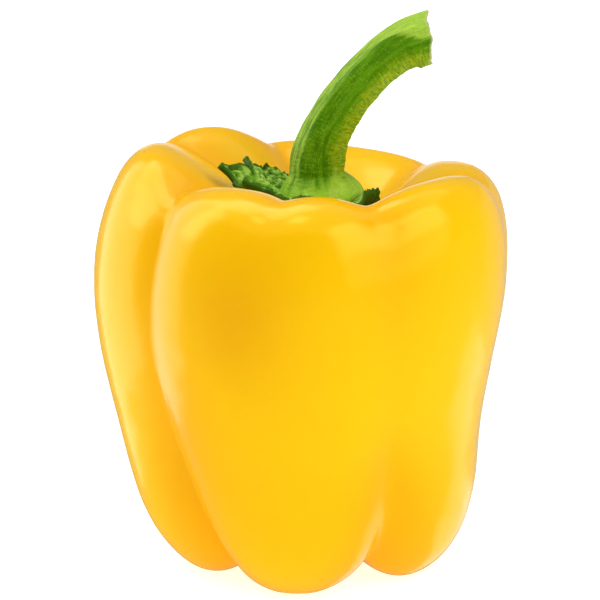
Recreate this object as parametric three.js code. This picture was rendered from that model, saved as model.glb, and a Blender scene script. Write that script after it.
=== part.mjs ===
// A yellow bell pepper: the fruit, the green calyx that lies in the hollow at its top, and the cut stem.
//
// Millimetres, +Z up, the front of the pepper faces -Y. The fruit stands on the ends of its lobes. Angles in
// the tables are degrees about +Z from +X, anticlockwise seen from above, so the front is at 270.
//
// The fruit's skin is a function of an angle and a way along the meridian, 0 at the stem end and 1 at the
// blossom end. A meridian is a smooth curve through the rows of PROFILE. Every lobe pulls on four stations of
// it: the crest round the hollow, the shoulder, the waist and the foot. The seams between lobes are then
// pressed into the skin. The calyx is a sheet laid on that skin, and the stem is a tube along a curve.
import * as THREE from "three";

// Fineness of each mesh
const FRUIT_STEPS = { around: 72, along: 38 };
const CALYX_STEPS = { around: 60, outwards: 9 };
const STEM_STEPS = { around: 24, along: 24 };

// The meridian before any lobe pulls on it: radius, height, the share of each station's pull
// (crest, shoulder, waist, foot), and how far the row follows the hollow's sideways shift.
const PROFILE = [
  { name: "floor", radius: 0, height: 80, pull: [0, 0, 0, 0], shift: 1 },
  { name: "floor edge", radius: 7, height: 80, pull: [0.1, 0, 0, 0], shift: 1 },
  { name: "wall", radius: 13.5, height: 81.6, pull: [0.4, 0, 0, 0], shift: 1 },
  { name: "inner rim", radius: 20, height: 87.8, pull: [0.9, 0, 0, 0], shift: 0.95 },
  { name: "crest", radius: 28.5, height: 93.8, pull: [1, 0, 0, 0], shift: 0.8 },
  { name: "outer rim", radius: 38, height: 92.6, pull: [0.5, 0.5, 0, 0], shift: 0.5 },
  { name: "shoulder", radius: 44.4, height: 84.2, pull: [0, 1, 0, 0], shift: 0.25 },
  { name: "belly", radius: 46.7, height: 71.6, pull: [0, 0.7, 0.3, 0], shift: 0.1 },
  { name: "flank", radius: 45.4, height: 57.4, pull: [0, 0.2, 0.8, 0], shift: 0 },
  { name: "waist", radius: 42.3, height: 43.5, pull: [0, 0, 1, 0], shift: 0 },
  { name: "hip", radius: 40.1, height: 30.3, pull: [0, 0, 0.8, 0.3], shift: 0 },
  { name: "heel", radius: 38.9, height: 17.6, pull: [0, 0, 0.3, 0.7], shift: 0 },
  { name: "ball", radius: 34.5, height: 4.8, pull: [0, 0, 0, 1], shift: 0 },
  { name: "foot", radius: 24.5, height: -4, pull: [0, 0, 0, 1], shift: 0 },
  { name: "arch", radius: 14, height: -1, pull: [0, 0, 0, 0.8], shift: 0 },
  { name: "dimple", radius: 7, height: 6.8, pull: [0, 0, 0, 0.35], shift: 0 },
  { name: "blossom scar", radius: 0, height: 9, pull: [0, 0, 0, 0], shift: 0 },
];
const HOLLOW_SHIFT = 4.8; // the hollow at the top sits this far towards +X

// Each lobe: the angle of its crest, the crest's rise, and how far out the four stations stand.
const LOBES = [
  { name: "front left", angle: 226, rise: -1.6, out: [0, 0, 0, -1.5] },
  { name: "front right", angle: 268, rise: -1.2, out: [-1, 0, 0, -2] },
  { name: "right front", angle: 318, rise: -1.5, out: [-0.5, -0.9, -1.6, 0.3] },
  { name: "right back", angle: 18, rise: -4.5, out: [-3.5, -1.5, -2.1, 0.2] },
  { name: "back right", angle: 77, rise: -8.3, out: [0, 0, 0, 0] },
  { name: "back", angle: 106, rise: -0.5, out: [0, 0, 0, 0] },
  { name: "left back", angle: 134, rise: 4, out: [5, 1.2, 1.4, -0.6] },
  { name: "left front", angle: 174, rise: 3, out: [6.3, 0.9, 2.5, -0.7] },
];
const LOBE_FOCUS = 14; // how sharply one lobe hands over to the next

// Each seam: its angle at the four stations, its depth there, and its half width in degrees.
const SEAMS = [
  { name: "front left", angles: [205, 220, 218, 224], depths: [5.5, 4, 2.8, 9], width: 16 },
  { name: "front crease", angles: [254, 256, 258, 260], depths: [3.2, 0.6, 0, 0], width: 11 },
  { name: "front right", angles: [286, 292, 297, 305], depths: [4.8, 3.8, 1.2, 9], width: 16 },
  { name: "right crease", angles: [352, 352, 350, 345], depths: [4, 2, 0.5, 0], width: 12 },
  { name: "back right", angles: [44, 44, 43, 38], depths: [3.8, 3.8, 2, 9], width: 16 },
  { name: "back left", angles: [109, 117, 125, 138], depths: [5, 4, 2, 9], width: 16 },
  { name: "left crease", angles: [154, 160, 165, 170], depths: [4.5, 2, 0.7, 0], width: 12 },
];
const SEAM_ROUNDING = 0.25; // how round the bottom of a seam is, as a share of its half width

// Calyx: the angle of each tip, how far it reaches from the hollow's middle, and how far it curls up.
const CALYX_TIPS = [
  { angle: 8, reach: 14, curl: 1 },
  { angle: 48, reach: 12.5, curl: 0.8 },
  { angle: 92, reach: 12, curl: 0.6 },
  { angle: 126, reach: 14.5, curl: 0.6 },
  { angle: 156, reach: 18.5, curl: 0.8 },
  { angle: 187, reach: 20, curl: 1 },
  { angle: 232, reach: 18, curl: 0.6 },
  { angle: 284, reach: 15.5, curl: 0.4 },
  { angle: 326, reach: 13.5, curl: 0.8 },
];
const CALYX_FOCUS = 45;
const CALYX_THICKNESS = 1.4;
const CALYX_BRIDGE = 0.7; // share of a seam's depth that the sheet spans instead of following
const CALYX_RUFFLES = 11;
const CALYX_RUFFLE_HEIGHT = 0.8;

// Stem: the curve it follows, from the calyx to the cut.
const STEM_PATH = [
  [3.9, 0, 83.8],
  [3, 0, 88.4],
  [3.2, 0, 93],
  [4.4, 0, 97.2],
  [6.5, 0, 101.4],
  [9.4, 0, 105.5],
  [12.9, 0, 109.6],
  [17.2, 0, 113.6],
  [21.8, 0, 116.5],
  [26.3, 0, 118.1],
];
const STEM_RADIUS = 5.1;
const STEM_SLIMMING = { less: 0.4, from: 0.3, to: 0.75 };
const STEM_RIDGES = 6;
const STEM_RIDGE_SHARE = 0.05;
const STEM_RIDGE_ANGLE = 233; // of the first ridge, from the inside of the bend
const STEM_COLLAR = { extra: 3.8, length: 0.08 };
const STEM_TIP = { extra: 1, length: 0.12 };

const CLEARANCE = 0.3; // left between pieces that touch
const DIFFERENCE_STEP = 1e-3; // step along a meridian when its slope is taken

const SKIN_YELLOW = new THREE.MeshStandardMaterial({ color: 0xfdb90a, roughness: 0.25, metalness: 0 });
const CALYX_GREEN = new THREE.MeshStandardMaterial({ color: 0x5f8a26, roughness: 0.6, metalness: 0 });
const STEM_GREEN = new THREE.MeshStandardMaterial({ color: 0x6d9a14, roughness: 0.5, metalness: 0 });

// A uniform cubic B-spline through a list of handles, for v from 0 to 1. The list is mirrored at both ends:
// with mirror 1 the curve is level there, and with mirror -1 it passes through nought.
function spline(handles, v, mirror = 1) {
  const last = handles.length - 1;
  const t = THREE.MathUtils.clamp(v, 0, 1) * last;
  const i = Math.min(Math.floor(t), last - 1);
  const f = t - i;
  const before = i === 0 ? mirror * handles[1] : handles[i - 1];
  const after = i === last - 1 ? mirror * handles[last - 1] : handles[i + 2];
  const weighted =
    before * (1 - f) ** 3 +
    handles[i] * (3 * f ** 3 - 6 * f ** 2 + 4) +
    handles[i + 1] * (-3 * f ** 3 + 3 * f ** 2 + 3 * f + 1) +
    after * f ** 3;
  return weighted / 6;
}

// How strongly each of the items, which have an angle in degrees, counts at the angle u. The counts add to 1.
function sharesAt(items, u, focus) {
  const raw = items.map((item) => {
    const apart = u - THREE.MathUtils.degToRad(item.angle);
    return Math.exp(focus * (Math.cos(apart) - 1));
  });
  const sum = raw.reduce((total, value) => total + value, 0);
  return raw.map((value) => value / sum);
}

// The mean of value(item) over the items, weighted by the shares.
function blend(items, shares, value) {
  return items.reduce((total, item, k) => total + shares[k] * value(item), 0);
}

// The radius and height handles of the meridian at the angle u, pulled by the lobes.
function meridianAt(u) {
  const shares = sharesAt(LOBES, u, LOBE_FOCUS);
  const rise = blend(LOBES, shares, (lobe) => lobe.rise);
  const out = [0, 1, 2, 3].map((station) => blend(LOBES, shares, (lobe) => lobe.out[station]));
  const pulled = (row) => row.pull.reduce((total, share, station) => total + share * out[station], 0);
  return {
    radii: PROFILE.map((row) => row.radius + pulled(row)),
    heights: PROFILE.map((row) => row.height + row.pull[0] * rise),
  };
}

// A seam's values at the four stations, made into one handle for each row of the profile.
function seamHandles(values, whole) {
  const last = PROFILE.length - 1;
  return PROFILE.map((row, k) => {
    const ends = k === 0 ? [1, 0, 0, 0] : [0, 0, 0, 1];
    const share = whole && (k === 0 || k === last) ? ends : row.pull;
    const sum = whole ? share.reduce((total, value) => total + value, 0) : 1;
    return share.reduce((total, value, station) => total + value * values[station], 0) / sum;
  });
}

const SEAM_CURVES = SEAMS.map((seam) => ({
  angles: seamHandles(seam.angles, true),
  depths: seamHandles(seam.depths, false),
  width: seam.width,
}));

// How deep the seams press into the skin at the angle u and way v: each one is a rounded cusp that fades
// exponentially to both sides of its line.
function seamDepth(u, v) {
  return SEAM_CURVES.reduce((total, seam) => {
    const line = THREE.MathUtils.degToRad(spline(seam.angles, v));
    const apart = Math.atan2(Math.sin(u - line), Math.cos(u - line));
    const x = apart / THREE.MathUtils.degToRad(seam.width);
    const fade = Math.exp(SEAM_ROUNDING - Math.hypot(x, SEAM_ROUNDING));
    return total + spline(seam.depths, v) * fade;
  }, 0);
}

// The skin's point at the angle u and way v along its meridian, lifted off the skin by lift.
function skinPoint(u, v, lift = 0) {
  const { radii, heights } = meridianAt(u);
  const slopeR = spline(radii, v + DIFFERENCE_STEP, -1) - spline(radii, v - DIFFERENCE_STEP, -1);
  const slopeZ = spline(heights, v + DIFFERENCE_STEP) - spline(heights, v - DIFFERENCE_STEP);
  const slope = Math.hypot(slopeR, slopeZ);
  const inwards = seamDepth(u, v) - lift;
  const radius = spline(radii, v, -1) + (inwards * slopeZ) / slope;
  const height = spline(heights, v) - (inwards * slopeR) / slope;
  const shift = HOLLOW_SHIFT * spline(PROFILE.map((row) => row.shift), v);
  return new THREE.Vector3(radius * Math.cos(u) + shift, radius * Math.sin(u), height);
}

// A closed mesh from rings of points: each ring goes anticlockwise seen from its outside end, and the first
// and last ring are each closed by a fan to a middle point.
function closedRings(rings, firstMiddle, lastMiddle) {
  const around = rings[0].length;
  const points = [firstMiddle, ...rings.flat(), lastMiddle];
  const at = (ring, step) => 1 + ring * around + (step % around);
  const faces = [];
  for (let step = 0; step < around; step++) {
    faces.push(0, at(0, step), at(0, step + 1));
    for (let ring = 0; ring < rings.length - 1; ring++) {
      faces.push(at(ring, step), at(ring + 1, step), at(ring + 1, step + 1));
      faces.push(at(ring, step), at(ring + 1, step + 1), at(ring, step + 1));
    }
    faces.push(points.length - 1, at(rings.length - 1, step + 1), at(rings.length - 1, step));
  }
  const geometry = new THREE.BufferGeometry().setFromPoints(points);
  geometry.setIndex(faces);
  geometry.computeVertexNormals();
  return geometry;
}

function ring(count, pointAt) {
  return Array.from({ length: count }, (_, step) => pointAt((2 * Math.PI * step) / count));
}

function averageHeight(points) {
  return points.reduce((total, point) => total + point.z, 0) / points.length;
}

// The fruit: the skin from the hollow's floor to the blossom end, with the lobe ends flattened where they rest.
function fruitGeometry() {
  const rings = [];
  for (let k = 1; k < FRUIT_STEPS.along; k++) {
    const v = k / FRUIT_STEPS.along;
    rings.push(
      ring(FRUIT_STEPS.around, (u) => {
        const point = skinPoint(u, v);
        point.z = Math.max(point.z, 0);
        return point;
      }),
    );
  }
  const top = new THREE.Vector3(HOLLOW_SHIFT, 0, averageHeight(rings[0]));
  const bottom = new THREE.Vector3(0, 0, averageHeight(rings.at(-1)));
  return closedRings(rings, top, bottom);
}

// How far up the calyx stands off the skin at the angle u, s of the way out to its edge.
function calyxLift(u, s, curl) {
  const ruffle = CALYX_RUFFLE_HEIGHT * Math.sin(CALYX_RUFFLES * u + 2 * s) * s ** 2;
  return CLEARANCE + Math.max(ruffle, 0) + curl * s ** 3;
}

// The calyx: a sheet that lies on the skin, with tips of different reach, an even thickness and a curled edge.
function calyxGeometry() {
  const crestRow = PROFILE.findIndex((row) => row.name === "crest");
  const wayPerReach = crestRow / (PROFILE.length - 1) / PROFILE[crestRow].radius;
  const pointAt = (u, s, thickness) => {
    const shares = sharesAt(CALYX_TIPS, u, CALYX_FOCUS);
    const v = s * wayPerReach * blend(CALYX_TIPS, shares, (tip) => tip.reach);
    const curl = blend(CALYX_TIPS, shares, (tip) => tip.curl);
    return skinPoint(u, v, calyxLift(u, s, curl) + CALYX_BRIDGE * seamDepth(u, v) + thickness);
  };
  const sheet = (thickness) => {
    const rings = [];
    for (let k = 1; k <= CALYX_STEPS.outwards; k++) {
      rings.push(ring(CALYX_STEPS.around, (u) => pointAt(u, k / CALYX_STEPS.outwards, thickness)));
    }
    return rings;
  };
  const upper = sheet(CALYX_THICKNESS);
  const lower = sheet(0).reverse();
  const top = new THREE.Vector3(HOLLOW_SHIFT, 0, averageHeight(upper[0]));
  const bottom = new THREE.Vector3(HOLLOW_SHIFT, 0, averageHeight(lower.at(-1)));
  return closedRings([...upper, ...lower], top, bottom);
}

// The stem's radius at the way t along it and the angle a round it: a collar at the foot, slimmer above, a
// wider cut end, and soft ridges.
function stemRadius(t, a) {
  const collar = STEM_COLLAR.extra * Math.exp(-t / STEM_COLLAR.length);
  const slimming = STEM_SLIMMING.less * THREE.MathUtils.smoothstep(t, STEM_SLIMMING.from, STEM_SLIMMING.to);
  const tip = STEM_TIP.extra * Math.exp((t - 1) / STEM_TIP.length);
  const turned = a - THREE.MathUtils.degToRad(STEM_RIDGE_ANGLE);
  const ridges = 1 + STEM_RIDGE_SHARE * Math.cos(STEM_RIDGES * turned);
  return (STEM_RADIUS + collar - slimming + tip) * ridges;
}

// The stem: rings square to the curve, from the cut down to the collar.
function stemGeometry() {
  const curve = new THREE.CatmullRomCurve3(STEM_PATH.map((point) => new THREE.Vector3(...point)));
  const across = new THREE.Vector3(0, 1, 0);
  const rings = [];
  for (let k = STEM_STEPS.along; k >= 0; k--) {
    const t = k / STEM_STEPS.along;
    const middle = curve.getPointAt(t);
    const along = k === 0 ? new THREE.Vector3(0, 0, 1) : curve.getTangentAt(t);
    const side = new THREE.Vector3().crossVectors(across, along).normalize();
    rings.push(
      ring(STEM_STEPS.around, (a) => {
        const radius = stemRadius(t, a);
        return middle
          .clone()
          .addScaledVector(side, radius * Math.cos(a))
          .addScaledVector(across, radius * Math.sin(a));
      }),
    );
  }
  return closedRings(rings, curve.getPointAt(1), curve.getPointAt(0));
}

function piece(name, geometry, material) {
  const mesh = new THREE.Mesh(geometry, material);
  mesh.name = name;
  return mesh;
}

const pepper = new THREE.Group();
pepper.add(piece("fruit", fruitGeometry(), SKIN_YELLOW));
pepper.add(piece("calyx", calyxGeometry(), CALYX_GREEN));
pepper.add(piece("stem", stemGeometry(), STEM_GREEN));

// The part's origin is the middle of its own box, at the height it rests on.
const box = new THREE.Box3().setFromObject(pepper);
pepper.position.set(-(box.min.x + box.max.x) / 2, -(box.min.y + box.max.y) / 2, -box.min.z);

export default pepper;
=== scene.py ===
"""A yellow bell pepper with its crinkled green calyx and its curved, cut stem, on a pale studio floor.

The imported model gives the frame: sizes and places follow its nodes. Three pieces stand for its three nodes,
each a surface worked out over two parameters, in millimetres until it becomes a mesh in metres. Angles are
anticlockwise about +Z from +X, so the front of the pepper, which faces -Y, is at 270 degrees.
"""
import logging
from dataclasses import dataclass, field
from enum import Enum, IntEnum

import bpy
import numpy as np
from bpy.types import Material, Node, NodeSocket, NodeTree, Object
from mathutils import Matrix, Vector


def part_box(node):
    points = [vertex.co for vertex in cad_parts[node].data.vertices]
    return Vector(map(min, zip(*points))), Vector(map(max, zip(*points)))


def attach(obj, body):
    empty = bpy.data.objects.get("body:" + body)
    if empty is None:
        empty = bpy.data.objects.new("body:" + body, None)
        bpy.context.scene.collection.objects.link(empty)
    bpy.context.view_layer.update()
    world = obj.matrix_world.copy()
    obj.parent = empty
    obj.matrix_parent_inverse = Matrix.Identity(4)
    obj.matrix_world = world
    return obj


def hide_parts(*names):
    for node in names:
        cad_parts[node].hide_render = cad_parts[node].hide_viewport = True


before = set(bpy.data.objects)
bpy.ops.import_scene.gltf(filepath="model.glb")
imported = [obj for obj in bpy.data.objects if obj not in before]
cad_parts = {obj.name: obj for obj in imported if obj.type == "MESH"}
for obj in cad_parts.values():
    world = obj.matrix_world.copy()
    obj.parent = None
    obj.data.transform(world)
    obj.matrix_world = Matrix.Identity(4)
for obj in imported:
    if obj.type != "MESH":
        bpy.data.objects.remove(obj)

log = logging.getLogger("pepper")
Array = np.ndarray
Pair = tuple[float, float]
Triple = tuple[float, float, float]
Four = tuple[float, float, float, float]

MM = 0.001
FULL_TURN = 2.0 * np.pi
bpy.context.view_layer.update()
LATTICE = 64
FOURTH_POWER_MEAN = 0.375


class Seed(IntEnum):
    """Which random values each noise takes."""

    SWELL = 11
    RIPPLE = 23
    SCAR = 31
    RIM = 41
    TORN = 47
    FOLD = 53
    WAVE = 67
    STRAND = 71
    WRINKLE = 77
    LUMP = 79
    CUT = 83
    CUT_RIM = 89
    CUT_NICK = 97
    COLLAR = 101
    FACET = 103
    UNDER = 107


# Numbers over a surface


def spline(handles: Array, way: Array, mirror: float = 1.0) -> Array:
    """A uniform cubic B-spline through handles, mirrored at both ends.

    With f the share of the way from one handle to the next, the four handles about it are weighted
    (1-f)^3, 3f^3-6f^2+4, -3f^3+3f^2+3f+1 and f^3, all over 6.

    Args:
        handles: one list of handle values, or a column of them for each angle.
        way: places on the curve from 0 to 1: a row for each, and one column or a column for each angle.
        mirror: 1 for a value that is level at the ends, -1 for one that passes through nought there.

    Returns:
        The values, way by angle.
    """
    last = len(handles) - 1
    extended = np.concatenate([mirror * handles[1:2], handles, mirror * handles[-2:-1]])
    t = np.clip(way, 0.0, 1.0) * last
    i = np.minimum(t.astype(int), last - 1)
    f = t - i
    weights = ((1 - f) ** 3, 3 * f**3 - 6 * f**2 + 4, -3 * f**3 + 3 * f**2 + 3 * f + 1, f**3)
    across = () if handles.ndim == 1 else (np.arange(handles.shape[1]),)
    return sum(weight * extended[(i + k, *across)] for k, weight in enumerate(weights)) / 6.0


def through(values: Array, way: Array) -> Array:
    """A smooth curve through the values, read at ways from 0 to 1: Catmull-Rom, a cubic between each two."""
    last = len(values) - 1
    extended = np.concatenate([[2 * values[0] - values[1]], values, [2 * values[-1] - values[-2]]])
    t = np.clip(way, 0.0, 1.0) * last
    i = np.minimum(t.astype(int), last - 1)
    f = t - i
    p0, p1, p2, p3 = (extended[i + k] for k in range(4))
    return 0.5 * (
        2 * p1 + (p2 - p0) * f + (2 * p0 - 5 * p1 + 4 * p2 - p3) * f**2 + (3 * p1 - p0 - 3 * p2 + p3) * f**3
    )


def column(items: tuple, name: str) -> Array:
    """One field of every item, as numbers."""
    return np.array([getattr(item, name) for item in items], float)


def turns(count: int) -> Array:
    """Angles of that many even steps round."""
    return np.arange(count) * FULL_TURN / count


def apart(angles: Array, other: Array | float) -> Array:
    """How far angles are from another, in radians, from minus half a turn to half a turn."""
    return np.arctan2(np.sin(angles - other), np.cos(angles - other))


def shares(angles: Array, at: Array, focus: float) -> Array:
    """How much each centre angle counts at each angle: exp(focus * (cos(apart) - 1)), scaled to add to 1.

    Args:
        angles: centre angles in degrees.
        at: angles in radians where the shares are wanted.
        focus: how sharply one centre hands over to the next.

    Returns:
        One row for each angle in at, one column for each centre.
    """
    raw = np.exp(focus * (np.cos(at[:, None] - np.radians(angles)[None, :]) - 1.0))
    return raw / raw.sum(axis=1, keepdims=True)


def smooth(low: float, high: float, x: Array) -> Array:
    """The smooth step 3t^2 - 2t^3, with t how far x is from low to high."""
    t = np.clip((x - low) / (high - low), 0.0, 1.0)
    return t * t * (3.0 - 2.0 * t)


def noise(points: Array, cell: float, seed: int) -> Array:
    """Smooth value noise from -1 to 1: random values on a cubic lattice, eased between its corners.

    Args:
        points: places, the last axis x, y, z.
        cell: edge length of a lattice cell, in the units of points.
        seed: picks the random values.

    Returns:
        One value for each place.
    """
    lattice = np.random.default_rng(int(seed)).uniform(-1.0, 1.0, (LATTICE,) * 3)
    place = points / cell
    corner = np.floor(place).astype(int)
    f = place - corner
    f = f * f * f * (f * (6.0 * f - 15.0) + 10.0)
    total = np.zeros(points.shape[:-1])
    for step in np.ndindex(2, 2, 2):
        at = (corner + step) % LATTICE
        weight = np.prod(np.where(step, f, 1.0 - f), axis=-1)
        total += weight * lattice[at[..., 0], at[..., 1], at[..., 2]]
    return total


def cloud(points: Array, cell: float, seed: int, layers: int = 3) -> Array:
    """Layers of noise added up, each with half the cell and half the height of the last."""
    return sum(noise(points, cell / 2**k, seed + k) / 2**k for k in range(layers))


def creases(points: Array, cell: float, seed: int, layers: int = 3) -> Array:
    """Sharp folds: 1 - 2|noise| in layers, so that each crease is where the noise passes through nought."""
    return sum((1.0 - 2.0 * np.abs(noise(points, cell / 2**k, seed + k))) / 2**k for k in range(layers))


# Meshes


def added(name: str, data: object) -> Object:
    """A new object with that data, linked into the scene."""
    made = bpy.data.objects.new(name, data)
    bpy.context.scene.collection.objects.link(made)
    return made


def aimed(name: str, data: object, target: Triple, away: Vector) -> Object:
    """A new light or camera that stands away from the target and looks at it."""
    made = added(name, data)
    made.location = Vector(target) + away
    made.rotation_euler = (-away).to_track_quat("-Z", "Y").to_euler()
    return made


@dataclass
class Rings:
    """A closed skin of rings of equal length, with a fan to a middle point at each end.

    Attributes:
        points: ring, place on the ring, xyz, in millimetres.
        masks: named values, ring by place on the ring, that materials read as attributes.
    """

    points: Array
    masks: dict[str, Array] = field(default_factory=dict)

    def faces(self) -> tuple[Array, Array]:
        """The fan triangles and the quads, as rows of vertex numbers."""
        count, around = self.points.shape[:2]
        step = np.arange(around)
        following = (step + 1) % around
        ring = np.arange(count - 1)[:, None] * around
        corners = (ring + step, ring + around + step, ring + around + following, ring + following)
        quads = np.stack(corners, axis=-1).reshape(-1, 4)
        end = (count - 1) * around
        first = np.stack([np.full(around, count * around), step, following], axis=-1)
        last = np.stack([np.full(around, count * around + 1), end + following, end + step], axis=-1)
        return np.concatenate([first, last]), quads

    def with_ends(self, values: Array) -> Array:
        """Values over the rings as one list, followed by the mean of the first and of the last ring."""
        flat = values.reshape((-1,) + values.shape[2:])
        return np.concatenate([flat, values[:1].mean(axis=1), values[-1:].mean(axis=1)])

    def piece(self, name: str, shift: Array) -> Object:
        """Makes the mesh object, in metres, with its place in its mesh.

        Args:
            name: the piece's name.
            shift: added to every point, in millimetres.

        Returns:
            The new object, smooth shaded.
        """
        triangles, quads = self.faces()
        points = (self.with_ends(self.points) + shift) * MM
        mesh = bpy.data.meshes.new(name)
        mesh.vertices.add(len(points))
        mesh.vertices.foreach_set("co", points.astype(np.float32).ravel())
        corners = np.concatenate([triangles.ravel(), quads.ravel()])
        mesh.loops.add(len(corners))
        mesh.loops.foreach_set("vertex_index", corners.astype(np.int32))
        sizes = np.repeat([3, 4], [len(triangles), len(quads)])
        starts = np.concatenate([[0], np.cumsum(sizes)[:-1]])
        mesh.polygons.add(len(sizes))
        mesh.polygons.foreach_set("loop_start", starts.astype(np.int32))
        mesh.polygons.foreach_set("use_smooth", np.ones(len(sizes), bool))
        for mask, values in self.masks.items():
            kind = "FLOAT_VECTOR" if values.ndim == 3 else "FLOAT"
            attribute = mesh.attributes.new(mask, kind, "POINT")
            data = self.with_ends(values).astype(np.float32).ravel()
            attribute.data.foreach_set("vector" if values.ndim == 3 else "value", data)
        mesh.update(calc_edges=True)
        return added(name, mesh)


# Materials

Colour = Triple


class Socket(Enum):
    """What a node group's input or output carries."""

    FLOAT = "NodeSocketFloat"
    COLOUR = "NodeSocketColor"
    VECTOR = "NodeSocketVector"


@dataclass(frozen=True)
class Lustre:
    """How a surface gives light back.

    Attributes:
        gloss, tint: level of the mirroring, and its colour.
        glow, depth: share of the light that goes under the surface, and how far, in metres.
        reach: share of the depth that red, green and blue go.
    """

    gloss: float
    tint: Colour
    glow: float
    depth: float
    reach: Colour = (0.6, 1.0, 0.15)


class Shader:
    """A material's node tree and short ways to add to it."""

    def __init__(self, name: str) -> None:
        """Makes the material, with a Principled BSDF on its output."""
        self.material = bpy.data.materials.new(name)
        self.material.use_nodes = True
        self.tree = self.material.node_tree
        self.surface = self.tree.nodes["Principled BSDF"]

    def node(self, kind: str, **settings: object) -> Node:
        """Adds a node of the kind, with its own settings, such as noise_dimensions."""
        made = self.tree.nodes.new(kind)
        for key, value in settings.items():
            setattr(made, key, value)
        return made

    def plug(self, given: NodeSocket, value: object) -> None:
        """Links a socket to the input, or makes anything else the input's value; a colour gets its alpha."""
        if isinstance(value, NodeSocket):
            self.tree.links.new(value, given)
        else:
            given.default_value = (*value, 1.0) if given.type == "RGBA" else value

    def feed(self, node: Node, **inputs: object) -> Node:
        """Fills inputs by name, with _ for a space."""
        for key, value in inputs.items():
            self.plug(node.inputs[key.replace("_", " ")], value)
        return node

    def attribute(self, name: str, vector: bool = False) -> NodeSocket:
        """The value or vector of the piece's own attribute."""
        made = self.node("ShaderNodeAttribute", attribute_name=name)
        return made.outputs["Vector" if vector else "Fac"]

    def place(self) -> NodeSocket:
        """Object coordinates, in metres."""
        return self.node("ShaderNodeTexCoord").outputs["Object"]

    def noise(self, vector: NodeSocket, scale: float, detail: float = 3.0) -> NodeSocket:
        """Noise over the vector, from 0 to 1."""
        made = self.node("ShaderNodeTexNoise")
        self.feed(made, Vector=vector, Scale=scale, Detail=detail)
        return made.outputs["Fac"]

    def ramp(self, value: NodeSocket, low: float, high: float) -> NodeSocket:
        """Nought up to low, one from high, and a smooth step between; low may be the larger."""
        made = self.node("ShaderNodeMapRange", interpolation_type="SMOOTHSTEP")
        self.feed(made, Value=value, From_Min=low, From_Max=high)
        return made.outputs["Result"]

    def sum(self, kind: str, first: object, second: object) -> NodeSocket:
        """One step of arithmetic, kind being MULTIPLY, ADD or another of the Math node's operations."""
        made = self.node("ShaderNodeMath", operation=kind)
        for given, value in zip(made.inputs, (first, second)):
            self.plug(given, value)
        return made.outputs["Value"]

    def spread(self, value: NodeSocket, half: NodeSocket) -> NodeSocket:
        """A smooth step about 0.5, half wide to each side."""
        low, high = (self.sum(kind, 0.5, half) for kind in ("SUBTRACT", "ADD"))
        return self.ramp(value, low, high)

    def mix(self, share: object, first: object, second: object) -> NodeSocket:
        """A colour, from first where share is 0 to second where it is 1."""
        made = self.node("ShaderNodeMix", data_type="RGBA")
        for index, value in ((0, share), (6, first), (7, second)):
            self.plug(made.inputs[index], value)
        return made.outputs[2]

    def group(self, tree: NodeTree, **inputs: object) -> Node:
        """Places a node group and sets its inputs."""
        made = self.node("ShaderNodeGroup", node_tree=tree)
        return self.feed(made, **inputs)

    def bump(self, height: NodeSocket, depth: float) -> None:
        """Roughens the normal by height, depth metres deep where height goes from 0 to 1."""
        made = self.node("ShaderNodeBump")
        self.feed(made, Height=height, Distance=depth, Strength=1.0)
        self.feed(self.surface, Normal=made.outputs["Normal"])

    def clouded(self, mottle: NodeTree, clouds: Pair, first: Colour, second: Colour) -> NodeSocket:
        """The mottle group's colour over the object, its clouds given by their scale and spread."""
        scale, spread = clouds
        made = self.group(mottle, Place=self.place(), Scale=scale, Spread=spread, First=first, Second=second)
        return made.outputs["Result"]

    def finish(self, colour: NodeSocket, roughness: object, lustre: Lustre) -> None:
        """Sets the surface's colour, roughness and lustre."""
        self.feed(self.surface, Base_Color=colour, Roughness=roughness, Subsurface_Radius=lustre.reach)
        self.feed(self.surface, Specular_IOR_Level=lustre.gloss, Specular_Tint=lustre.tint)
        self.feed(self.surface, Subsurface_Weight=lustre.glow, Subsurface_Scale=lustre.depth)


def new_group(name: str, inputs: dict[str, object], output: Socket) -> tuple[Shader, NodeTree]:
    """Starts a shader node group with one output, named Result.

    Args:
        name: the group's name.
        inputs: default of each input: a number, a colour, or None for a vector.
        output: what Result carries.

    Returns:
        A Shader whose tree is the group's, and the group.
    """
    tree = bpy.data.node_groups.new(name, "ShaderNodeTree")
    for key, default in inputs.items():
        filled = Socket.COLOUR if isinstance(default, tuple) else Socket.FLOAT
        kind = Socket.VECTOR if default is None else filled
        socket = tree.interface.new_socket(key, in_out="INPUT", socket_type=kind.value)
        if default is not None:
            socket.default_value = (*default, 1.0) if isinstance(default, tuple) else default
    tree.interface.new_socket("Result", in_out="OUTPUT", socket_type=output.value)
    inside = Shader.__new__(Shader)
    inside.tree = tree
    return inside, tree


def mottle_group() -> NodeTree:
    """A colour that wanders between two others in broad clouds of noise, softened by Spread."""
    inside, tree = new_group(
        "mottle",
        {"Place": None, "Scale": 20.0, "Spread": 0.2, "First": (1.0, 1.0, 1.0), "Second": (0.0, 0.0, 0.0)},
        Socket.COLOUR,
    )
    given = inside.node("NodeGroupInput").outputs
    made = inside.node("NodeGroupOutput")
    share = inside.spread(inside.noise(given["Place"], given["Scale"], 2.0), given["Spread"])
    inside.feed(made, Result=inside.mix(share, given["First"], given["Second"]))
    return tree


def grain_group() -> NodeTree:
    """Streaks from 0 to 1: noise over a place stretched by Stretch, its middle values spread by Contrast."""
    inside, tree = new_group("grain", {"Place": None, "Stretch": None, "Contrast": 0.15}, Socket.FLOAT)
    given = inside.node("NodeGroupInput").outputs
    made = inside.node("NodeGroupOutput")
    scaled = inside.node("ShaderNodeVectorMath", operation="MULTIPLY")
    inside.plug(scaled.inputs[0], given["Place"])
    inside.plug(scaled.inputs[1], given["Stretch"])
    streaks = inside.noise(scaled.outputs["Vector"], 1.0, 3.0)
    inside.feed(made, Result=inside.spread(streaks, given["Contrast"]))
    return tree


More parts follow.
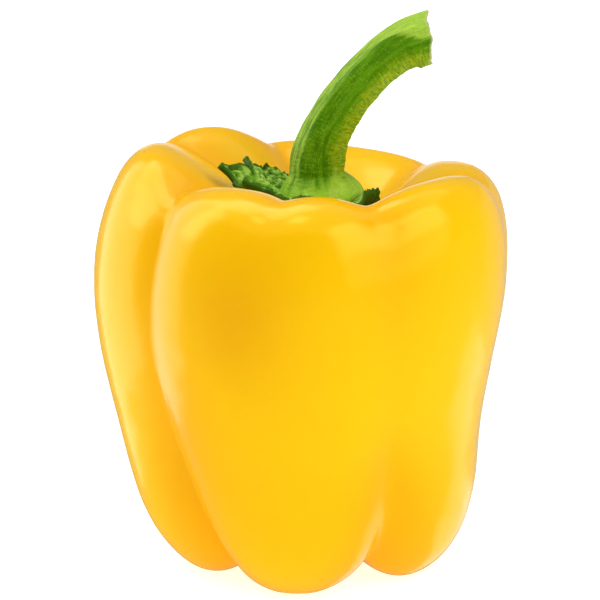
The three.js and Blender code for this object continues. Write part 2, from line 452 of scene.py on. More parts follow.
@dataclass(frozen=True)
class SkinFinish:
    """The fruit's waxy yellow skin, with painted shade in deeper orange along the seams and in patches, and a
    dry scar underneath.
    """

    sunny: Colour = (0.96, 0.56, 0.001)
    mellow: Colour = (0.95, 0.53, 0.001)
    # deep: the painted shade of the patches.
    deep: Colour = (0.90, 0.445, 0.001)
    # seam: the painted shade along the seams, deeper orange where they press in.
    seam: Colour = (0.92, 0.42, 0.001)
    scar: Colour = (0.17, 0.09, 0.03)
    roughness: Pair = (0.145, 0.225)
    lustre: Lustre = Lustre(0.75, (1.0, 0.77, 0.15), 0.16, 0.006, (1.0, 0.6, 0.08))
    clouds: Pair = (16.0, 0.3)
    seam_shade_share: float = 0.7
    seam_shade_edges: Pair = (0.1, 0.9)
    fine_scale: float = 900.0
    broad_scale: float = 120.0
    broad_height: float = 4.0
    relief: float = 0.00002

    def material(self, mottle: NodeTree) -> Material:
        """Clouded yellow, deepened by painted shade where the shade mask says, then mixed towards the seam's
        painted shade and the scar's colour.
        """
        shader = Shader("pepper_skin")
        place = shader.place()
        base = shader.clouded(mottle, self.clouds, self.sunny, self.mellow)
        # Painted shade: the patches deepen the yellow.
        shaded = shader.mix(shader.attribute("shade"), base, self.deep)
        # Painted shade along the seams, stronger where they press in deeper.
        seams = shader.ramp(shader.attribute("seam"), *self.seam_shade_edges)
        colour = shader.mix(shader.sum("MULTIPLY", seams, self.seam_shade_share), shaded, self.seam)
        colour = shader.mix(shader.attribute("scar"), colour, self.scar)
        fine = shader.noise(place, self.fine_scale, 2.0)
        broad = shader.noise(place, self.broad_scale, 2.0)
        rough = shader.node("ShaderNodeMapRange")
        low, high = self.roughness
        shader.feed(rough, Value=broad, To_Min=low, To_Max=high)
        shader.finish(colour, rough.outputs["Result"], self.lustre)
        height = shader.sum("ADD", fine, shader.sum("MULTIPLY", broad, self.broad_height))
        shader.bump(height, self.relief)
        return shader.material


@dataclass(frozen=True)
class Grain:
    """Streaks over a place: how often they come along each axis, and how wide their edges are."""

    stretch: Triple
    contrast: float

    def over(self, shader: Shader, grain: NodeTree) -> NodeSocket:
        """The streaks, from 0 to 1, over the piece's own lay."""
        lay = shader.attribute("lay", vector=True)
        made = shader.group(grain, Place=lay, Stretch=self.stretch, Contrast=self.contrast)
        return made.outputs["Result"]


@dataclass(frozen=True)
class StemFinish:
    """The stem's streaked green rind: painted light gives a pale facet above and a lighter, yellower side
    below, and the front stays dark.
    """

    dark: Colour = (0.06, 0.21, 0.001)
    mid: Colour = (0.12, 0.33, 0.002)
    # pale serves the painted light on the upper facet, and the flecks and the collar.
    pale: Colour = (0.44, 0.68, 0.07)
    # The painted light on the side below.
    lit_warm: Colour = (0.46, 0.58, 0.012)
    foot: Colour = (0.34, 0.60, 0.03)
    cut: Colour = (0.50, 0.52, 0.22)
    pith: Colour = (0.62, 0.64, 0.36)
    roughness: float = 0.40
    lustre: Lustre = Lustre(0.2, (0.8, 1.0, 0.15), 0.12, 0.003)
    along: Grain = Grain((1.3, 1.3, 0.22), 0.16)
    fibres: Grain = Grain((4.5, 4.5, 0.5), 0.14)
    across: Grain = Grain((0.5, 0.5, 2.2), 0.2)
    blotches: Grain = Grain((1.1, 1.1, 0.6), 0.14)
    lit_facet_streaks: float = 0.45
    lit_facet_edges: Pair = (0.35, 1.1)
    fleck_scale: float = 2.2
    fleck_edges: Pair = (0.58, 0.70)
    fleck_share: float = 0.3
    thread_share: float = 0.3
    pith_scale: float = 3.0
    relief: float = 0.00012

    def material(self, grain: NodeTree) -> Material:
        """Green streaked along the stem, with painted light as a pale facet above and lighter cross streaks
        below, pale flecks and a fibrous cut end.
        """
        shader = Shader("stem_rind")
        lay = shader.attribute("lay", vector=True)
        along = self.along.over(shader, grain)
        fibres = self.fibres.over(shader, grain)
        across = self.across.over(shader, grain)
        body = shader.mix(along, self.dark, self.mid)
        # Painted light: the side below turns a lighter, yellower green in cross streaks.
        lit_warm = shader.mix(across, self.mid, self.lit_warm)
        colour = shader.mix(shader.attribute("under"), body, lit_warm)
        # Painted light: the pale facet above, broken by the streaks.
        streaked = shader.sum("MULTIPLY", along, self.lit_facet_streaks)
        lit_facet = shader.ramp(shader.sum("ADD", shader.attribute("upper"), streaked), *self.lit_facet_edges)
        colour = shader.mix(lit_facet, colour, self.pale)
        fleck = shader.ramp(shader.noise(lay, self.fleck_scale, 1.0), *self.fleck_edges)
        colour = shader.mix(shader.sum("MULTIPLY", fleck, self.fleck_share), colour, self.pale)
        colour = shader.mix(shader.sum("MULTIPLY", fibres, self.thread_share), colour, self.mid)
        foot = shader.mix(self.blotches.over(shader, grain), self.foot, self.pale)
        colour = shader.mix(shader.attribute("collar"), colour, foot)
        wood = shader.mix(shader.noise(lay, self.pith_scale, 4.0), self.cut, self.pith)
        colour = shader.mix(shader.attribute("face"), colour, wood)
        shader.finish(colour, self.roughness, self.lustre)
        shader.bump(shader.sum("ADD", fibres, across), self.relief)
        return shader.material


@dataclass(frozen=True)
class CalyxFinish:
    """The calyx's crinkled green: a painted highlight along its folds and veins, painted shade in its furrows
    and over its underside, and dark at its edge.
    """

    # dark serves the painted shade in the furrows and under the sheet, and the dark edge; pale the painted
    # highlight on the folds.
    dark: Colour = (0.02, 0.09, 0.001)
    deep: Colour = (0.09, 0.27, 0.006)
    mid: Colour = (0.21, 0.45, 0.02)
    pale: Colour = (0.52, 0.73, 0.15)
    core: Colour = (0.24, 0.45, 0.03)
    roughness: float = 0.45
    lustre: Lustre = Lustre(0.35, (0.8, 1.0, 0.25), 0.08, 0.002)
    clouds: Pair = (260.0, 0.2)
    furrow_shade_edges: Pair = (0.6, 0.4)
    ridge_highlight_edges: Pair = (0.67, 0.88)
    ridge_highlight_share: float = 0.7
    fine_scale: float = 1800.0
    relief: float = 0.00012

    def material(self, mottle: NodeTree) -> Material:
        """Clouded green, with painted shade in its furrows and on its underside, dark at its edge, a painted
        highlight on its folds, and plain in its middle.
        """
        shader = Shader("calyx_green")
        place = shader.place()
        base = shader.clouded(mottle, self.clouds, self.mid, self.deep)
        folds = shader.attribute("fold")
        # Painted shade in the furrows.
        furrow_shade = shader.ramp(folds, *self.furrow_shade_edges)
        colour = shader.mix(furrow_shade, base, self.dark)
        # Painted highlight on the folds.
        ridge = shader.ramp(folds, *self.ridge_highlight_edges)
        colour = shader.mix(shader.sum("MULTIPLY", ridge, self.ridge_highlight_share), colour, self.pale)
        # Dark at the brim, and painted shade over the whole underside.
        colour = shader.mix(shader.attribute("edge"), colour, self.dark)
        colour = shader.mix(shader.attribute("middle"), colour, self.core)
        shader.finish(colour, self.roughness, self.lustre)
        shader.bump(shader.noise(place, self.fine_scale, 3.0), self.relief)
        return shader.material


@dataclass(frozen=True)
class FloorFinish:
    """A plain pale floor, lightly clouded so that it is not one flat value."""

    pale: Colour = (0.72, 0.72, 0.72)
    paler: Colour = (0.76, 0.76, 0.755)
    roughness: float = 0.7
    lift: float = 0.75
    gloss: float = 0.1
    clouds: Pair = (3.0, 0.3)

    def material(self, mottle: NodeTree) -> Material:
        """Two near whites in broad clouds."""
        shader = Shader("studio_floor")
        base = shader.clouded(mottle, self.clouds, self.pale, self.paler)
        shader.feed(shader.surface, Base_Color=base, Roughness=self.roughness, Specular_IOR_Level=self.gloss)
        shader.feed(shader.surface, Emission_Color=(1.0, 1.0, 1.0), Emission_Strength=self.lift)
        return shader.material


# Fruit


class Station(IntEnum):
    """The four heights at which lobes pull and seams are driven."""

    CREST = 0
    SHOULDER = 1
    WAIST = 2
    FOOT = 3


@dataclass(frozen=True)
class Row:
    """A handle of the meridian: radius, height, share of each station's pull and of the hollow's shift."""

    radius: float
    height: float
    pull: Four
    shift: float


@dataclass(frozen=True)
class Lobe:
    """A lobe: the angle of its crest, the crest's rise, and how far out the four stations stand."""

    angle: float
    rise: float
    out: Four


@dataclass(frozen=True)
class Seam:
    """A seam: angle and depth at the four stations, half width in degrees, and how round its bottom is."""

    angles: Four
    depths: Four
    width: float
    rounding: float = 0.25


@dataclass(frozen=True)
class FruitShape:
    """The skin over an angle and a way along the meridian, 0 at the stem and 1 at the blossom end."""

    rows: tuple[Row, ...] = (
        Row(0, 80, (0, 0, 0, 0), 1),
        Row(7, 80, (0.1, 0, 0, 0), 1),
        Row(13.5, 81.6, (0.4, 0, 0, 0), 1),
        Row(20, 87.8, (0.9, 0, 0, 0), 0.95),
        Row(28.5, 93.8, (1, 0, 0, 0), 0.8),
        Row(38, 92.6, (0.5, 0.5, 0, 0), 0.5),
        Row(44.4, 84.2, (0, 1, 0, 0), 0.25),
        Row(46.7, 71.6, (0, 0.7, 0.3, 0), 0.1),
        Row(45.4, 57.4, (0, 0.2, 0.8, 0), 0),
        Row(42.3, 43.5, (0, 0, 1, 0), 0),
        Row(40.1, 30.3, (0, 0, 0.8, 0.3), 0),
        Row(38.9, 17.6, (0, 0, 0.3, 0.7), 0),
        Row(34.5, 4.8, (0, 0, 0, 1), 0),
        Row(24.5, -4, (0, 0, 0, 1), 0),
        Row(14, -1, (0, 0, 0, 0.8), 0),
        Row(7, 6.8, (0, 0, 0, 0.35), 0),
        Row(0, 9, (0, 0, 0, 0), 0),
    )
    crest_row: int = 4
    hollow_shift: float = 4.8
    lobes: tuple[Lobe, ...] = (
        Lobe(226, -1.6, (0, 0, 0, -1.5)),
        Lobe(268, -1.2, (-1, 0, 0, -2)),
        Lobe(318, -1.5, (-0.5, -0.9, -1.6, 0.3)),
        Lobe(18, -4.5, (-3.5, -1.5, -2.1, 0.2)),
        Lobe(77, -8.3, (0, 0, 0, 0)),
        Lobe(106, -0.5, (0, 0, 0, 0)),
        Lobe(134, 4, (5, 1.2, 1.4, -0.6)),
        Lobe(174, 3, (6.3, 0.9, 2.5, -0.7)),
    )
    lobe_focus: float = 14
    seams: tuple[Seam, ...] = (
        Seam((205, 220, 218, 224), (5.5, 4.4, 3.2, 9), 15, 0.08),
        Seam((254, 256, 258, 260), (3.2, 0.6, 0, 0), 11),
        Seam((286, 292, 297, 305), (4.8, 3.8, 1.2, 9), 16),
        Seam((352, 352, 350, 345), (4, 2, 0.5, 0), 12),
        Seam((44, 44, 43, 38), (3.8, 3.8, 2, 9), 16),
        Seam((109, 117, 125, 138), (5, 4, 2, 9), 16),
        Seam((154, 160, 165, 170), (4.5, 2, 0.7, 0), 12),
    )
    slope_step: float = 1e-3

    def way_to(self, radius: float) -> float:
        """The way along the meridian that reaches about that radius inside the hollow."""
        return radius / self.rows[self.crest_row].radius * self.crest_row / (len(self.rows) - 1)

    def meridians(self, angles: Array) -> tuple[Array, Array]:
        """Radius and height handles, row by angle: each row's own, plus its pull on the blended lobes."""
        weight = shares(column(self.lobes, "angle"), angles, self.lobe_focus)
        out = weight @ column(self.lobes, "out")
        rise = weight @ column(self.lobes, "rise")
        pulls = column(self.rows, "pull")
        radii = column(self.rows, "radius")[:, None] + pulls @ out.T
        heights = column(self.rows, "height")[:, None] + pulls[:, [Station.CREST]] * rise
        return radii, heights

    def seam_depth(self, angles: Array, way: Array) -> Array:
        """How deep the seams press in, way by angle.

        Each seam adds depth * exp(c - sqrt(x^2 + c^2)), where x is the angle from its line over its half
        width and c its rounding: a cusp with a round bottom that fades to both sides.
        """
        pulls = column(self.rows, "pull")
        whole = pulls.copy()
        whole[0, Station.CREST] = 1.0
        whole[-1, Station.FOOT] = 1.0
        whole /= whole.sum(axis=1, keepdims=True)
        total = np.zeros((len(way), len(angles)))
        for seam in self.seams:
            line = spline(np.radians(whole @ np.array(seam.angles, float)), way)
            depth = spline(pulls @ np.array(seam.depths, float), way)
            x = apart(angles, line) / np.radians(seam.width)
            fade = np.exp(seam.rounding - np.hypot(x, seam.rounding))
            total += depth * fade
        return total

    def surface(self, angles: Array, way: Array, lift: Array | float = 0.0) -> Array:
        """Points of the skin, way by angle by xyz.

        The meridian of each angle is moved along its own normal, outwards by lift and inwards by the seams,
        and turned about the axis, which shifts sideways with the hollow.

        Args:
            angles: angles in radians, in one dimension.
            way: ways along the meridian: a row for each, and one column or a column for each angle.
            lift: how far off the skin, a number or way by angle.
        """
        radii, heights = self.meridians(angles)
        step = self.slope_step
        slope_r = spline(radii, way + step, -1.0) - spline(radii, way - step, -1.0)
        slope_z = spline(heights, way + step) - spline(heights, way - step)
        slope = np.hypot(slope_r, slope_z)
        inwards = self.seam_depth(angles, way) - lift
        radius = spline(radii, way, -1.0) + inwards * slope_z / slope
        height = spline(heights, way) - inwards * slope_r / slope
        shift = self.hollow_shift * spline(column(self.rows, "shift"), way)
        x = radius * np.cos(angles) + shift
        return np.stack([x, radius * np.sin(angles), height], axis=-1)


def middle(box: tuple[Vector, Vector]) -> Array:
    """The middle of a box's two corners, seen from above, in millimetres; its height is nought."""
    low, high = (np.array(corner) / MM for corner in box)
    return (low + high) / 2.0 * (1, 1, 0)


@dataclass(frozen=True)
class ShadePatch:
    """A patch of painted shade in deeper yellow: its angle and height, and half its width, in degrees, and
    half its height.
    """

    angle: float
    height: float
    width: float
    rise: float


@dataclass
class Fruit:
    """The yellow fruit: one skin from the floor of its hollow to its blossom end.

    Attributes:
        around: facets round the fruit.
        along: facets from the stem end to the blossom end.
        swell, ripple: heights of the skin's broad and fine unevenness, in millimetres.
        uneven_from, scar_under: heights between which the unevenness comes in and the scar fades out.
        full_seam: depth at which a seam has the whole of its painted shade.
        scar_edge: how far the scar's edge is blurred inwards and outwards.
    """

    shape: FruitShape
    around: int = 380
    along: int = 250
    swell: float = 0.16
    swell_cell: float = 15.0
    ripple: float = 0.025
    ripple_cell: float = 4.0
    uneven_from: Pair = (1.0, 9.0)
    full_seam: float = 5.0
    scar_radius: float = 2.6
    scar_edge: Pair = (0.5, 0.4)
    scar_under: Pair = (6.0, 14.0)
    scar_ragged: float = 0.8
    scar_cell: float = 1.6
    # Patches of painted shade on the front, where the yellow is deepened.
    patches: tuple[ShadePatch, ...] = (ShadePatch(249, 66, 15, 16), ShadePatch(226, 40, 16, 26))

    def unevenness(self, points: Array) -> Array:
        """How far the skin stands out: broad clouds and faint ripples, fading out where the lobes rest."""
        raised = smooth(*self.uneven_from, points[..., 2])
        broad = self.swell * cloud(points, self.swell_cell, Seed.SWELL, 2)
        return raised * (broad + self.ripple * cloud(points, self.ripple_cell, Seed.RIPPLE, 2))

    def shade(self, angles: Array, heights: Array) -> Array:
        """How strong the painted shade is, which deepens the yellow: of all patches the strongest exp(-x^2 -
        z^2).

        Here x is how far a point's angle is off the patch's, over the half width, and z its height likewise.
        """
        strengths = []
        for patch in self.patches:
            x = apart(angles, np.radians(patch.angle)) / np.radians(patch.width)
            strengths.append(np.exp(-(x**2) - ((heights - patch.height) / patch.rise) ** 2))
        return np.max(strengths, axis=0)

    def scar(self, points: Array) -> Array:
        """Where the dry scar is: a ragged round spot about the axis, on the underside only."""
        inside, outside = self.scar_edge
        under = 1.0 - smooth(*self.scar_under, points[..., 2])
        span = np.hypot(points[..., 0], points[..., 1])
        ragged = span + self.scar_ragged * cloud(points, self.scar_cell, Seed.SCAR, 2)
        return under * (1.0 - smooth(self.scar_radius - inside, self.scar_radius + outside, ragged))

    def build(self) -> Object:
        """Makes the fruit: the skin, uneven, with the lobe ends flattened where they rest."""
        angles = turns(self.around)
        way = np.linspace(0.0, 1.0, self.along + 1)[1:-1, None]
        plain = self.shape.surface(angles, way)
        points = self.shape.surface(angles, way, self.unevenness(plain))
        points[..., 2] = np.maximum(points[..., 2], 0.0)
        masks = {
            # seam sets the painted shade along the seams; shade that of the patches.
            "seam": self.shape.seam_depth(angles, way) / self.full_seam,
            "scar": self.scar(points),
            # shade: the painted shade of the patches.
            "shade": self.shade(angles, points[..., 2]),
        }
        own = points.reshape(-1, 3)
        self.shift = middle(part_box("fruit")) - middle((own.min(0) * MM, own.max(0) * MM))
        self.piece = Rings(points, masks).piece("fruit_skin", self.shift)
        return self.piece

    def dress(self, finish: Material) -> None:
        """Gives the fruit its finish, hangs it on the root body and hides the imported fruit part."""
        self.piece.data.materials.append(finish)
        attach(self.piece, "root")
        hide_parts("fruit")


@dataclass(frozen=True)
class Tip:
    """A tip of the calyx: its angle, how far it reaches from the hollow's middle, and how far it curls up."""

    angle: float
    reach: float
    curl: float


@dataclass
class Calyx:
    """The green calyx: a crinkled sheet that lies in the hollow, with ragged tips that curl up.

    Attributes:
        bridge: share of a seam's depth that the sheet spans instead of following.
        crinkle: height of the crinkles, in millimetres, and crinkle_inside: share of it near the stem.
        wave: height of the broad waves of the loose outer part, which wave_rise lifts.
        ragged: depth of the edge's tears, and tears: shares of the broad and of the fine ones.
        thickness: of the sheet at its middle and at its edge.
        loose, crinkled, core, brim: shares of the way out between which the sheet comes loose, crinkles come
            in, the plain middle ends and the dark edge begins.
    """

    shape: FruitShape
    tips: tuple[Tip, ...] = (
        Tip(8, 14, 1.2),
        Tip(48, 12.5, 1),
        Tip(92, 12, 0.8),
        Tip(124, 14.5, 1),
        Tip(150, 15.5, 2),
        Tip(174, 17.4, 4),
        Tip(214, 22.9, 0.4),
        Tip(238, 18, 0.6),
        Tip(284, 15.5, 0.5),
        Tip(328, 14.4, 3.2),
    )
    focus: float = 45.0
    around: int = 520
    outwards: int = 90
    bridge: float = 0.7
    gap: float = 0.15
    crinkle: float = 0.48
    crinkle_cell: float = 1.25
    wave: float = 0.7
    wave_cell: float = 5.0
    wave_rise: float = 0.6
    ragged: float = 1.5
    ragged_cell: float = 5.2
    torn_cell: float = 1.7
    tears: Pair = (0.7, 0.5)
    draw_in: float = 0.4
    thickness: Pair = (1.3, 0.55)
    crinkle_inside: float = 0.25
    crinkle_rise: float = 0.6
    loose: Pair = (0.42, 0.8)
    crinkled: Pair = (0.3, 0.55)
    core: Pair = (0.4, 0.65)
    brim: Pair = (0.93, 1.0)
    # Share of painted shade over the sheet's underside.
    underside_shade: float = 0.6

    def edge(self, angles: Array) -> tuple[Array, Array]:
        """Reach and curl at each angle: the tips blended, and the reach torn by noise round the rim."""
        weight = shares(column(self.tips, "angle"), angles, self.focus)
        reach = weight @ column(self.tips, "reach")
        curl = weight @ column(self.tips, "curl")
        rim = np.stack([reach * np.cos(angles), reach * np.sin(angles), 0 * angles], axis=-1)
        broad, fine = self.tears
        torn = broad * creases(rim, self.ragged_cell, Seed.RIM, 2)
        torn = torn + fine * cloud(rim, self.torn_cell, Seed.TORN, 2)
        reach = reach + self.ragged * torn - self.draw_in * self.ragged
        return reach, curl

    def sheet(self, upper: bool) -> tuple[Array, Array, Array]:
        """One face of the sheet.

        A point lies at the share s of the way to the edge, lifted off the skin by the gap, by most of the
        seam's depth, by the curl times s^3 and by waves in its loose outer part. The upper face adds the
        thickness and the crinkles.

        Args:
            upper: whether it is the upper face.

        Returns:
            Points, fold heights from 0 to 1, and s, each outwards by angle.
        """
        angles = turns(self.around)
        reach, curl = self.edge(angles)
        s = np.linspace(0.0, 1.0, self.outwards + 1)[1:, None] * np.ones(self.around)
        way = s * self.shape.way_to(1.0) * reach
        outer = smooth(*self.loose, s)
        depth = self.shape.seam_depth(angles, way)
        lift = self.gap + self.bridge * depth + curl * s**3
        base = self.shape.surface(angles, way, lift)
        folds = creases(base, self.crinkle_cell, Seed.FOLD, 2)
        lift = lift + self.wave * outer * (noise(base, self.wave_cell, Seed.WAVE) + self.wave_rise)
        if upper:
            inner, rim = self.thickness
            lift = lift + inner + (rim - inner) * smooth(0.5, 1.0, s)
            share = self.crinkle_inside + (1.0 - self.crinkle_inside) * outer
            lift = lift + self.crinkle * share * smooth(*self.crinkled, s) * (folds + self.crinkle_rise)
        points = self.shape.surface(angles, way, lift)
        return points, np.clip(0.5 + 0.4 * folds, 0.0, 1.0), s

    def build(self, shift: Array) -> Object:
        """Makes the calyx: the upper face outwards, then the lower face back inwards."""
        upper, folds, s = self.sheet(True)
        lower, _, _ = self.sheet(False)
        points = np.concatenate([upper, lower[::-1]])
        back = np.zeros_like(s)
        edge = smooth(*self.brim, s)
        core = 1.0 - smooth(*self.core, s)
        masks = {
            # fold sets the painted shade in the furrows and the painted highlight on the folds.
            "fold": np.concatenate([folds, back]),
            # edge: dark at the brim, and painted shade over the underside.
            "edge": np.concatenate([edge, back + self.underside_shade]),
            "middle": np.concatenate([core, back]),
        }
        self.piece = Rings(points, masks).piece("calyx_ruff", shift)
        return self.piece

    def dress(self, finish: Material) -> None:
        """Gives the calyx its finish, hangs it on the root body and hides the imported calyx part."""
        self.piece.data.materials.append(finish)
        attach(self.piece, "root")
        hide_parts("calyx")


@dataclass
class Stem:
    """The cut stem: an angular tube along a curve, with a cushion-like collar and a knobbly cut end.

    Places round the stem are angles from the inside of its bend: 180 degrees is the top of the bend and 270
    faces the front.

    Attributes:
        path: the curve's points, across and up, in millimetres.
        ridges: soft ridges round the stem, the first at ridge_angle; the pale facet of painted light begins
            at facet_edge.
        collar, tip: extra radius at the foot and at the cut end, and the share of the length it takes.
        flare, chin: extra radius of the bend's outside above the collar, and of its inside at the cut end.
        slimming: how much slimmer the stem is above the shares of its length in slim_over.
        fibre, wrinkle, lump: heights of the strands, of the cross wrinkles inside the bend and of the lumps.
        nicks: depths of the broad and the fine nicks in the cut end's rim.
    """

    path: tuple[Pair, ...] = (
        (3.9, 82.2),
        (3.0, 88.2),
        (3.2, 93.0),
        (4.4, 97.2),
        (6.5, 101.4),
        (9.4, 105.5),
        (12.9, 109.6),
        (17.2, 113.6),
        (21.8, 116.5),
        (26.3, 118.1),
    )
    around: int = 200
    along: int = 300
    radius: float = 5.0
    slimming: float = 0.5
    ridges: int = 6
    ridge_angle: float = 228.0
    facet_edge: float = 222.0
    ridge_height: float = 0.42
    collar: Pair = (3.5, 0.13)
    cushion_power: float = 1.2
    flare: float = 2.1
    flare_fade: Pair = (0.05, 0.42)
    slim_over: Pair = (0.3, 0.75)
    tip: Pair = (0.6, 0.13)
    chin: float = 0.7
    fibre: float = 0.09
    wrinkle: float = 0.12
    lump: float = 0.16
    nicks: Pair = (0.7, 0.25)
    # The side of painted light below faces this angle.
    lit_side_angle: float = 336.0
    cut_depth: float = 0.9
    cut_fibre: float = 0.22
    slant: float = 1.2
    cap_rings: int = 26

    def centre_line(self, t: Array) -> tuple[Array, Array]:
        """Places and directions along the curve at the shares t of its length.

        The curve passes through the path's points and is read at even steps of length.
        """
        handles = np.array(self.path, float)
        fine = np.linspace(0.0, 1.0, 2001)[:, None]
        places = np.concatenate([through(handles[:, 0], fine), through(handles[:, 1], fine)], axis=1)
        length = np.concatenate([[0.0], np.cumsum(np.linalg.norm(np.diff(places, axis=0), axis=1))])
        self.length = length[-1]
        wanted = t * self.length
        x, z = (np.interp(wanted, length, places[:, axis]) for axis in (0, 1))
        step = 0.5
        ahead, behind = (np.clip(wanted + way, 0.0, self.length) for way in (step, -step))
        dx, dz = (
            np.interp(ahead, length, places[:, axis]) - np.interp(behind, length, places[:, axis])
            for axis in (0, 1)
        )
        direction = np.stack([dx, 0 * dx, dz], axis=-1)
        direction /= np.linalg.norm(direction, axis=-1, keepdims=True)
        return np.stack([x, 0 * x, z], axis=-1), direction

    def radii(self, t: Array, a: Array) -> Array:
        """The radius at the shares t, in a column, and the angles a.

        It is the plain radius, slimmer above, plus a rounded cushion at the foot that flares along the bend's
        outside, plus a swelling at the tip, plus ridges that are the fourth power of a cosine, less its mean.
        """
        extra, height = self.collar
        cushion = extra * (1.0 - np.clip(t / height, 0.0, 1.0) ** 2) ** self.cushion_power
        cushion = cushion + self.flare * (0.5 - 0.5 * np.cos(a)) * (1.0 - smooth(*self.flare_fade, t))
        swell, reach = self.tip
        below = 0.5 + 0.5 * np.cos(a)
        tip = swell * smooth(1.0 - 2.4 * reach, 1.0 - 0.4 * reach, t)
        tip = tip + self.chin * below * smooth(1.0 - 0.95 * reach, 1.0 - 0.72 * reach, t)
        wave = np.cos(self.ridges * (a - np.radians(self.ridge_angle)) / 2.0) ** 4 - FOURTH_POWER_MEAN
        ridge = self.ridge_height * wave * smooth(0.0, 0.25, t)
        slim = self.slimming * smooth(*self.slim_over, t)
        return self.radius - slim + cushion + tip + ridge

    def lay(self, t: Array, a: Array) -> Array:
        """The place on the stem if it were an even, straight cylinder, so that noise over it has no seam."""
        zero = 0 * (t + a)
        across = self.radius
        return np.stack([across * np.cos(a) + zero, across * np.sin(a) + zero, t * self.length + zero], -1)

    def cap(self, rim: Array, centre: Array, normal: Array) -> Array:
        """The cut end, from its rim in to its middle: rounded over, a little hollow, and torn by fibres."""
        share = np.linspace(1.0, 0.0, self.cap_rings + 1)[1:-1, None, None]
        flat = centre + (rim - centre) * share
        rough = cloud(flat, 1.5, Seed.CUT, 3)[..., None]
        hollow = self.cut_depth * (1.0 - share**4)
        return flat - normal * (hollow - self.cut_fibre * rough * smooth(0.0, 0.2, 1.0 - share))

    def rind(self, t: Array, a: Array, lay: Array) -> Array:
        """The radius with its strands, the cross wrinkles inside the bend, and its lumps."""
        strands = creases(lay * (1.4, 1.4, 0.12), 1.6, Seed.STRAND, 2)
        wrinkles = noise(lay * (0.4, 0.4, 1.6), 1.5, Seed.WRINKLE)
        inner = smooth(0.1, 0.9, np.cos(a))
        radius = self.radii(t, a) + self.fibre * strands * (1.0 - 0.7 * inner)
        radius = radius + self.wrinkle * inner * wrinkles
        return radius + self.lump * cloud(lay, 5.0, Seed.LUMP, 2)

    def ending(self, t: Array, a: Array, lay: Array) -> Array:
        """How far each point near the cut end is moved along the stem, by the cut's slant and its nicks."""
        broad, fine = self.nicks
        rim = lay[:1] * (1, 1, 0)
        ragged = broad * noise(rim, 3.4, Seed.CUT_RIM) + fine * noise(rim, 1.3, Seed.CUT_NICK)
        return (ragged - self.slant * np.cos(a)) * smooth(0.86, 1.0, t)

    def masks(self, t: Array, a: Array, lay: Array, end: Array) -> dict[str, Array]:
        """What the finish reads, by name: the lay, the pale and lighter sides of painted light, the collar
        and the cut face.
        """
        pad = np.zeros((len(end), self.around))
        # Painted light: the pale facet above, wider towards the cut end.
        edge = self.facet_edge + 40.0 * smooth(0.78, 1.0, t)
        edge = edge + 9.0 * cloud(lay * (1, 1, 0.3), 4.0, Seed.FACET, 2)
        upper = smooth(10.0, -10.0, np.degrees(a) - edge) * smooth(130.0, 170.0, np.degrees(a))
        # Painted light: the lighter side below.
        facing = np.cos(a - np.radians(self.lit_side_angle))
        under = smooth(0.45, 0.98, facing + 0.12 * noise(lay, 3.0, Seed.UNDER))
        height = self.collar[1]
        blurred = t + 0.055 * cloud(lay * (1, 1, 0.25), 1.3, Seed.COLLAR, 2)
        foot = 1.0 - smooth(0.45 * height, 1.25 * height, blurred)
        end_lay = np.concatenate([end[..., [1, 2]], end[..., [0]] * 0 + self.length], axis=-1)
        return {
            "lay": np.concatenate([end_lay, lay]),
            "upper": np.concatenate([pad, upper * (0.55 + 0.4 * smooth(0.7, 0.95, t))]),
            "under": np.concatenate([pad, under]),
            "collar": np.concatenate([pad, foot * np.ones_like(a)]),
            "face": np.concatenate([pad + 1.0, smooth(0.985, 1.0, t) * np.ones_like(a)]),
        }

    def build(self, shift: Array) -> Object:
        """Makes the stem: the cut end's middle first, then its rim, then rings down to the collar."""
        a = turns(self.around)
        t = np.linspace(1.0, 0.0, self.along + 1)[:, None]
        centre, direction = self.centre_line(t[:, 0])
        across = np.array([0.0, 1.0, 0.0])
        side = np.cross(across, direction)
        lay = self.lay(t, a)
        ring = side[:, None] * np.cos(a)[:, None] + across * np.sin(a)[:, None]
        points = centre[:, None] + self.rind(t, a, lay)[..., None] * ring
        points = points + self.ending(t, a, lay)[..., None] * direction[:, None]
        end = self.cap(points[0], points[0].mean(axis=0), direction[0])[::-1]
        rings = Rings(np.concatenate([end, points]), self.masks(t, a, lay, end))
        self.piece = rings.piece("stem_rind", shift)
        return self.piece

    def dress(self, finish: Material) -> None:
        """Gives the stem its finish, hangs it on the root body and hides the imported stem part."""
        self.piece.data.materials.append(finish)
        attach(self.piece, "root")
        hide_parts("stem")


# Studio


@dataclass(frozen=True)
class SoftBox:
    """A rectangular studio light that faces the pepper.

    Attributes:
        azimuth: direction it stands in, in degrees anticlockwise from +X.
        elevation: how high it stands, in degrees above the middle of the pepper.
        spread: half of its width and half of its height, in degrees as seen from the pepper.
        glow: its radiance.
    """

    name: str
    azimuth: float
    elevation: float
    spread: Pair
    glow: float
    distance: float = 0.8
    target: Triple = (0.0, 0.0, 0.06)

    def build(self) -> Object:
        """Makes the area light, turned to its target; its power is pi times its glow times its area."""
        light = bpy.data.lights.new(self.name, "AREA")
        light.shape = "RECTANGLE"
        light.size, light.size_y = 2.0 * self.distance * np.tan(np.radians(self.spread))
        light.energy = np.pi * self.glow * light.size * light.size_y
        turn, rise = np.radians((self.azimuth, self.elevation))
        away = Vector((np.cos(turn) * np.cos(rise), np.sin(turn) * np.cos(rise), np.sin(rise)))
        return aimed(self.name, light, self.target, away * self.distance)


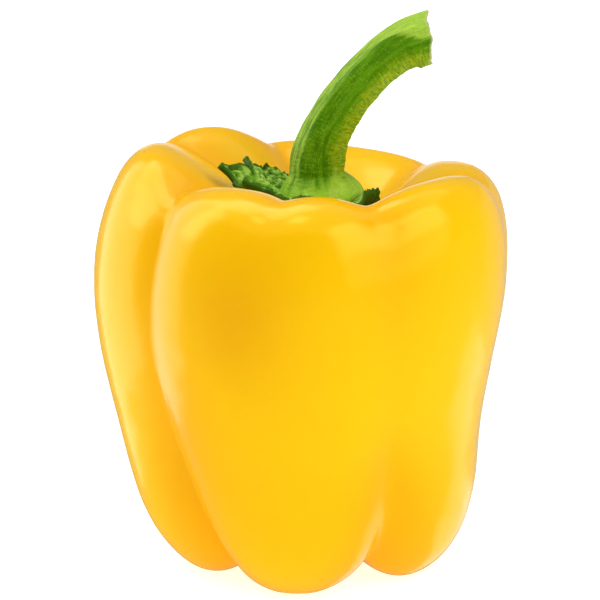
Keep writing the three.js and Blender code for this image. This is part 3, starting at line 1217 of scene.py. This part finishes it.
@dataclass
class Studio:
    """The pale floor, the soft light and the camera, in metres and degrees.

    Attributes:
        floor_gap: how far the floor lies below the fruit's feet, so that they don't share a plane.
    """

    floor_size: float = 6.0
    floor_gap: float = 0.0001
    sky: float = 0.22
    boxes: tuple[SoftBox, ...] = (
        SoftBox("left_box", 156, 14, (26, 44), 1.5),
        SoftBox("left_strip", 172, 38, (9, 20), 1.9),
        SoftBox("right_window", 325, 40, (18, 18), 2.0),
        SoftBox("right_veil", 324, 28, (20, 27), 1.0),
        SoftBox("top_box", 128, 70, (16, 13), 2.2),
        SoftBox("backdrop", 92, -2, (11, 14), 0.6),
        SoftBox("back_fill", 52, -6, (28, 22), 0.22),
        SoftBox("low_right", 42, -38, (24, 14), 0.8),
        SoftBox("top_spot", 240, 76, (6, 6), 4.0),
        SoftBox("overhead", 0, 88, (35, 35), 0.72),
    )
    elevation: float = 14.0
    distance: float = 0.7
    lens: float = 192.0
    sensor: float = 36.0
    target: Triple = (-0.0002, 0.0, 0.0596)

    def light(self) -> None:
        """Places the soft boxes and an even pale sky."""
        for box in self.boxes:
            box.build()
        world = bpy.data.worlds.new("studio_sky")
        world.use_nodes = True
        background = world.node_tree.nodes["Background"]
        background.inputs["Color"].default_value = (1.0, 1.0, 1.0, 1.0)
        background.inputs["Strength"].default_value = self.sky
        bpy.context.scene.world = world

    def floor(self, finish: Material) -> Object:
        """Makes the floor, a flat sheet just under the pepper that isn't mirrored in its skin."""
        half = self.floor_size / 2.0
        low = -self.floor_gap
        corners = [(-half, -half, low), (half, -half, low), (half, half, low), (-half, half, low)]
        mesh = bpy.data.meshes.new("studio_floor")
        mesh.from_pydata(corners, [], [(0, 1, 2, 3)])
        mesh.materials.append(finish)
        floor = added("studio_floor", mesh)
        floor.visible_glossy = False
        floor.visible_shadow = False
        return floor

    def camera(self) -> Object:
        """Places the camera in front, looking slightly down, and makes it the scene's camera."""
        lens = bpy.data.cameras.new("front_camera")
        lens.lens = self.lens
        lens.sensor_width = self.sensor
        angle = np.radians(self.elevation)
        away = Vector((0.0, -np.cos(angle), np.sin(angle))) * self.distance
        made = aimed("front_camera", lens, self.target, away)
        bpy.context.scene.camera = made
        return made


def main() -> None:
    """Builds the pepper's three pieces, dresses them and sets up the studio."""
    logging.basicConfig(level=logging.INFO, format="%(name)s: %(message)s")
    mottle = mottle_group()
    grain = grain_group()
    shape = FruitShape()
    fruit = Fruit(shape)
    calyx = Calyx(shape)
    stem = Stem()
    pieces = [fruit.build(), calyx.build(fruit.shift), stem.build(fruit.shift)]
    fruit.dress(SkinFinish().material(mottle))
    calyx.dress(CalyxFinish().material(mottle))
    stem.dress(StemFinish().material(grain))
    for piece in pieces:
        log.info("%s: %d faces", piece.name, len(piece.data.polygons))
    studio = Studio()
    studio.light()
    studio.floor(FloorFinish().material(mottle))
    studio.camera()
    bpy.context.scene.view_settings.view_transform = "Standard"


if __name__ == "__main__":
    main()
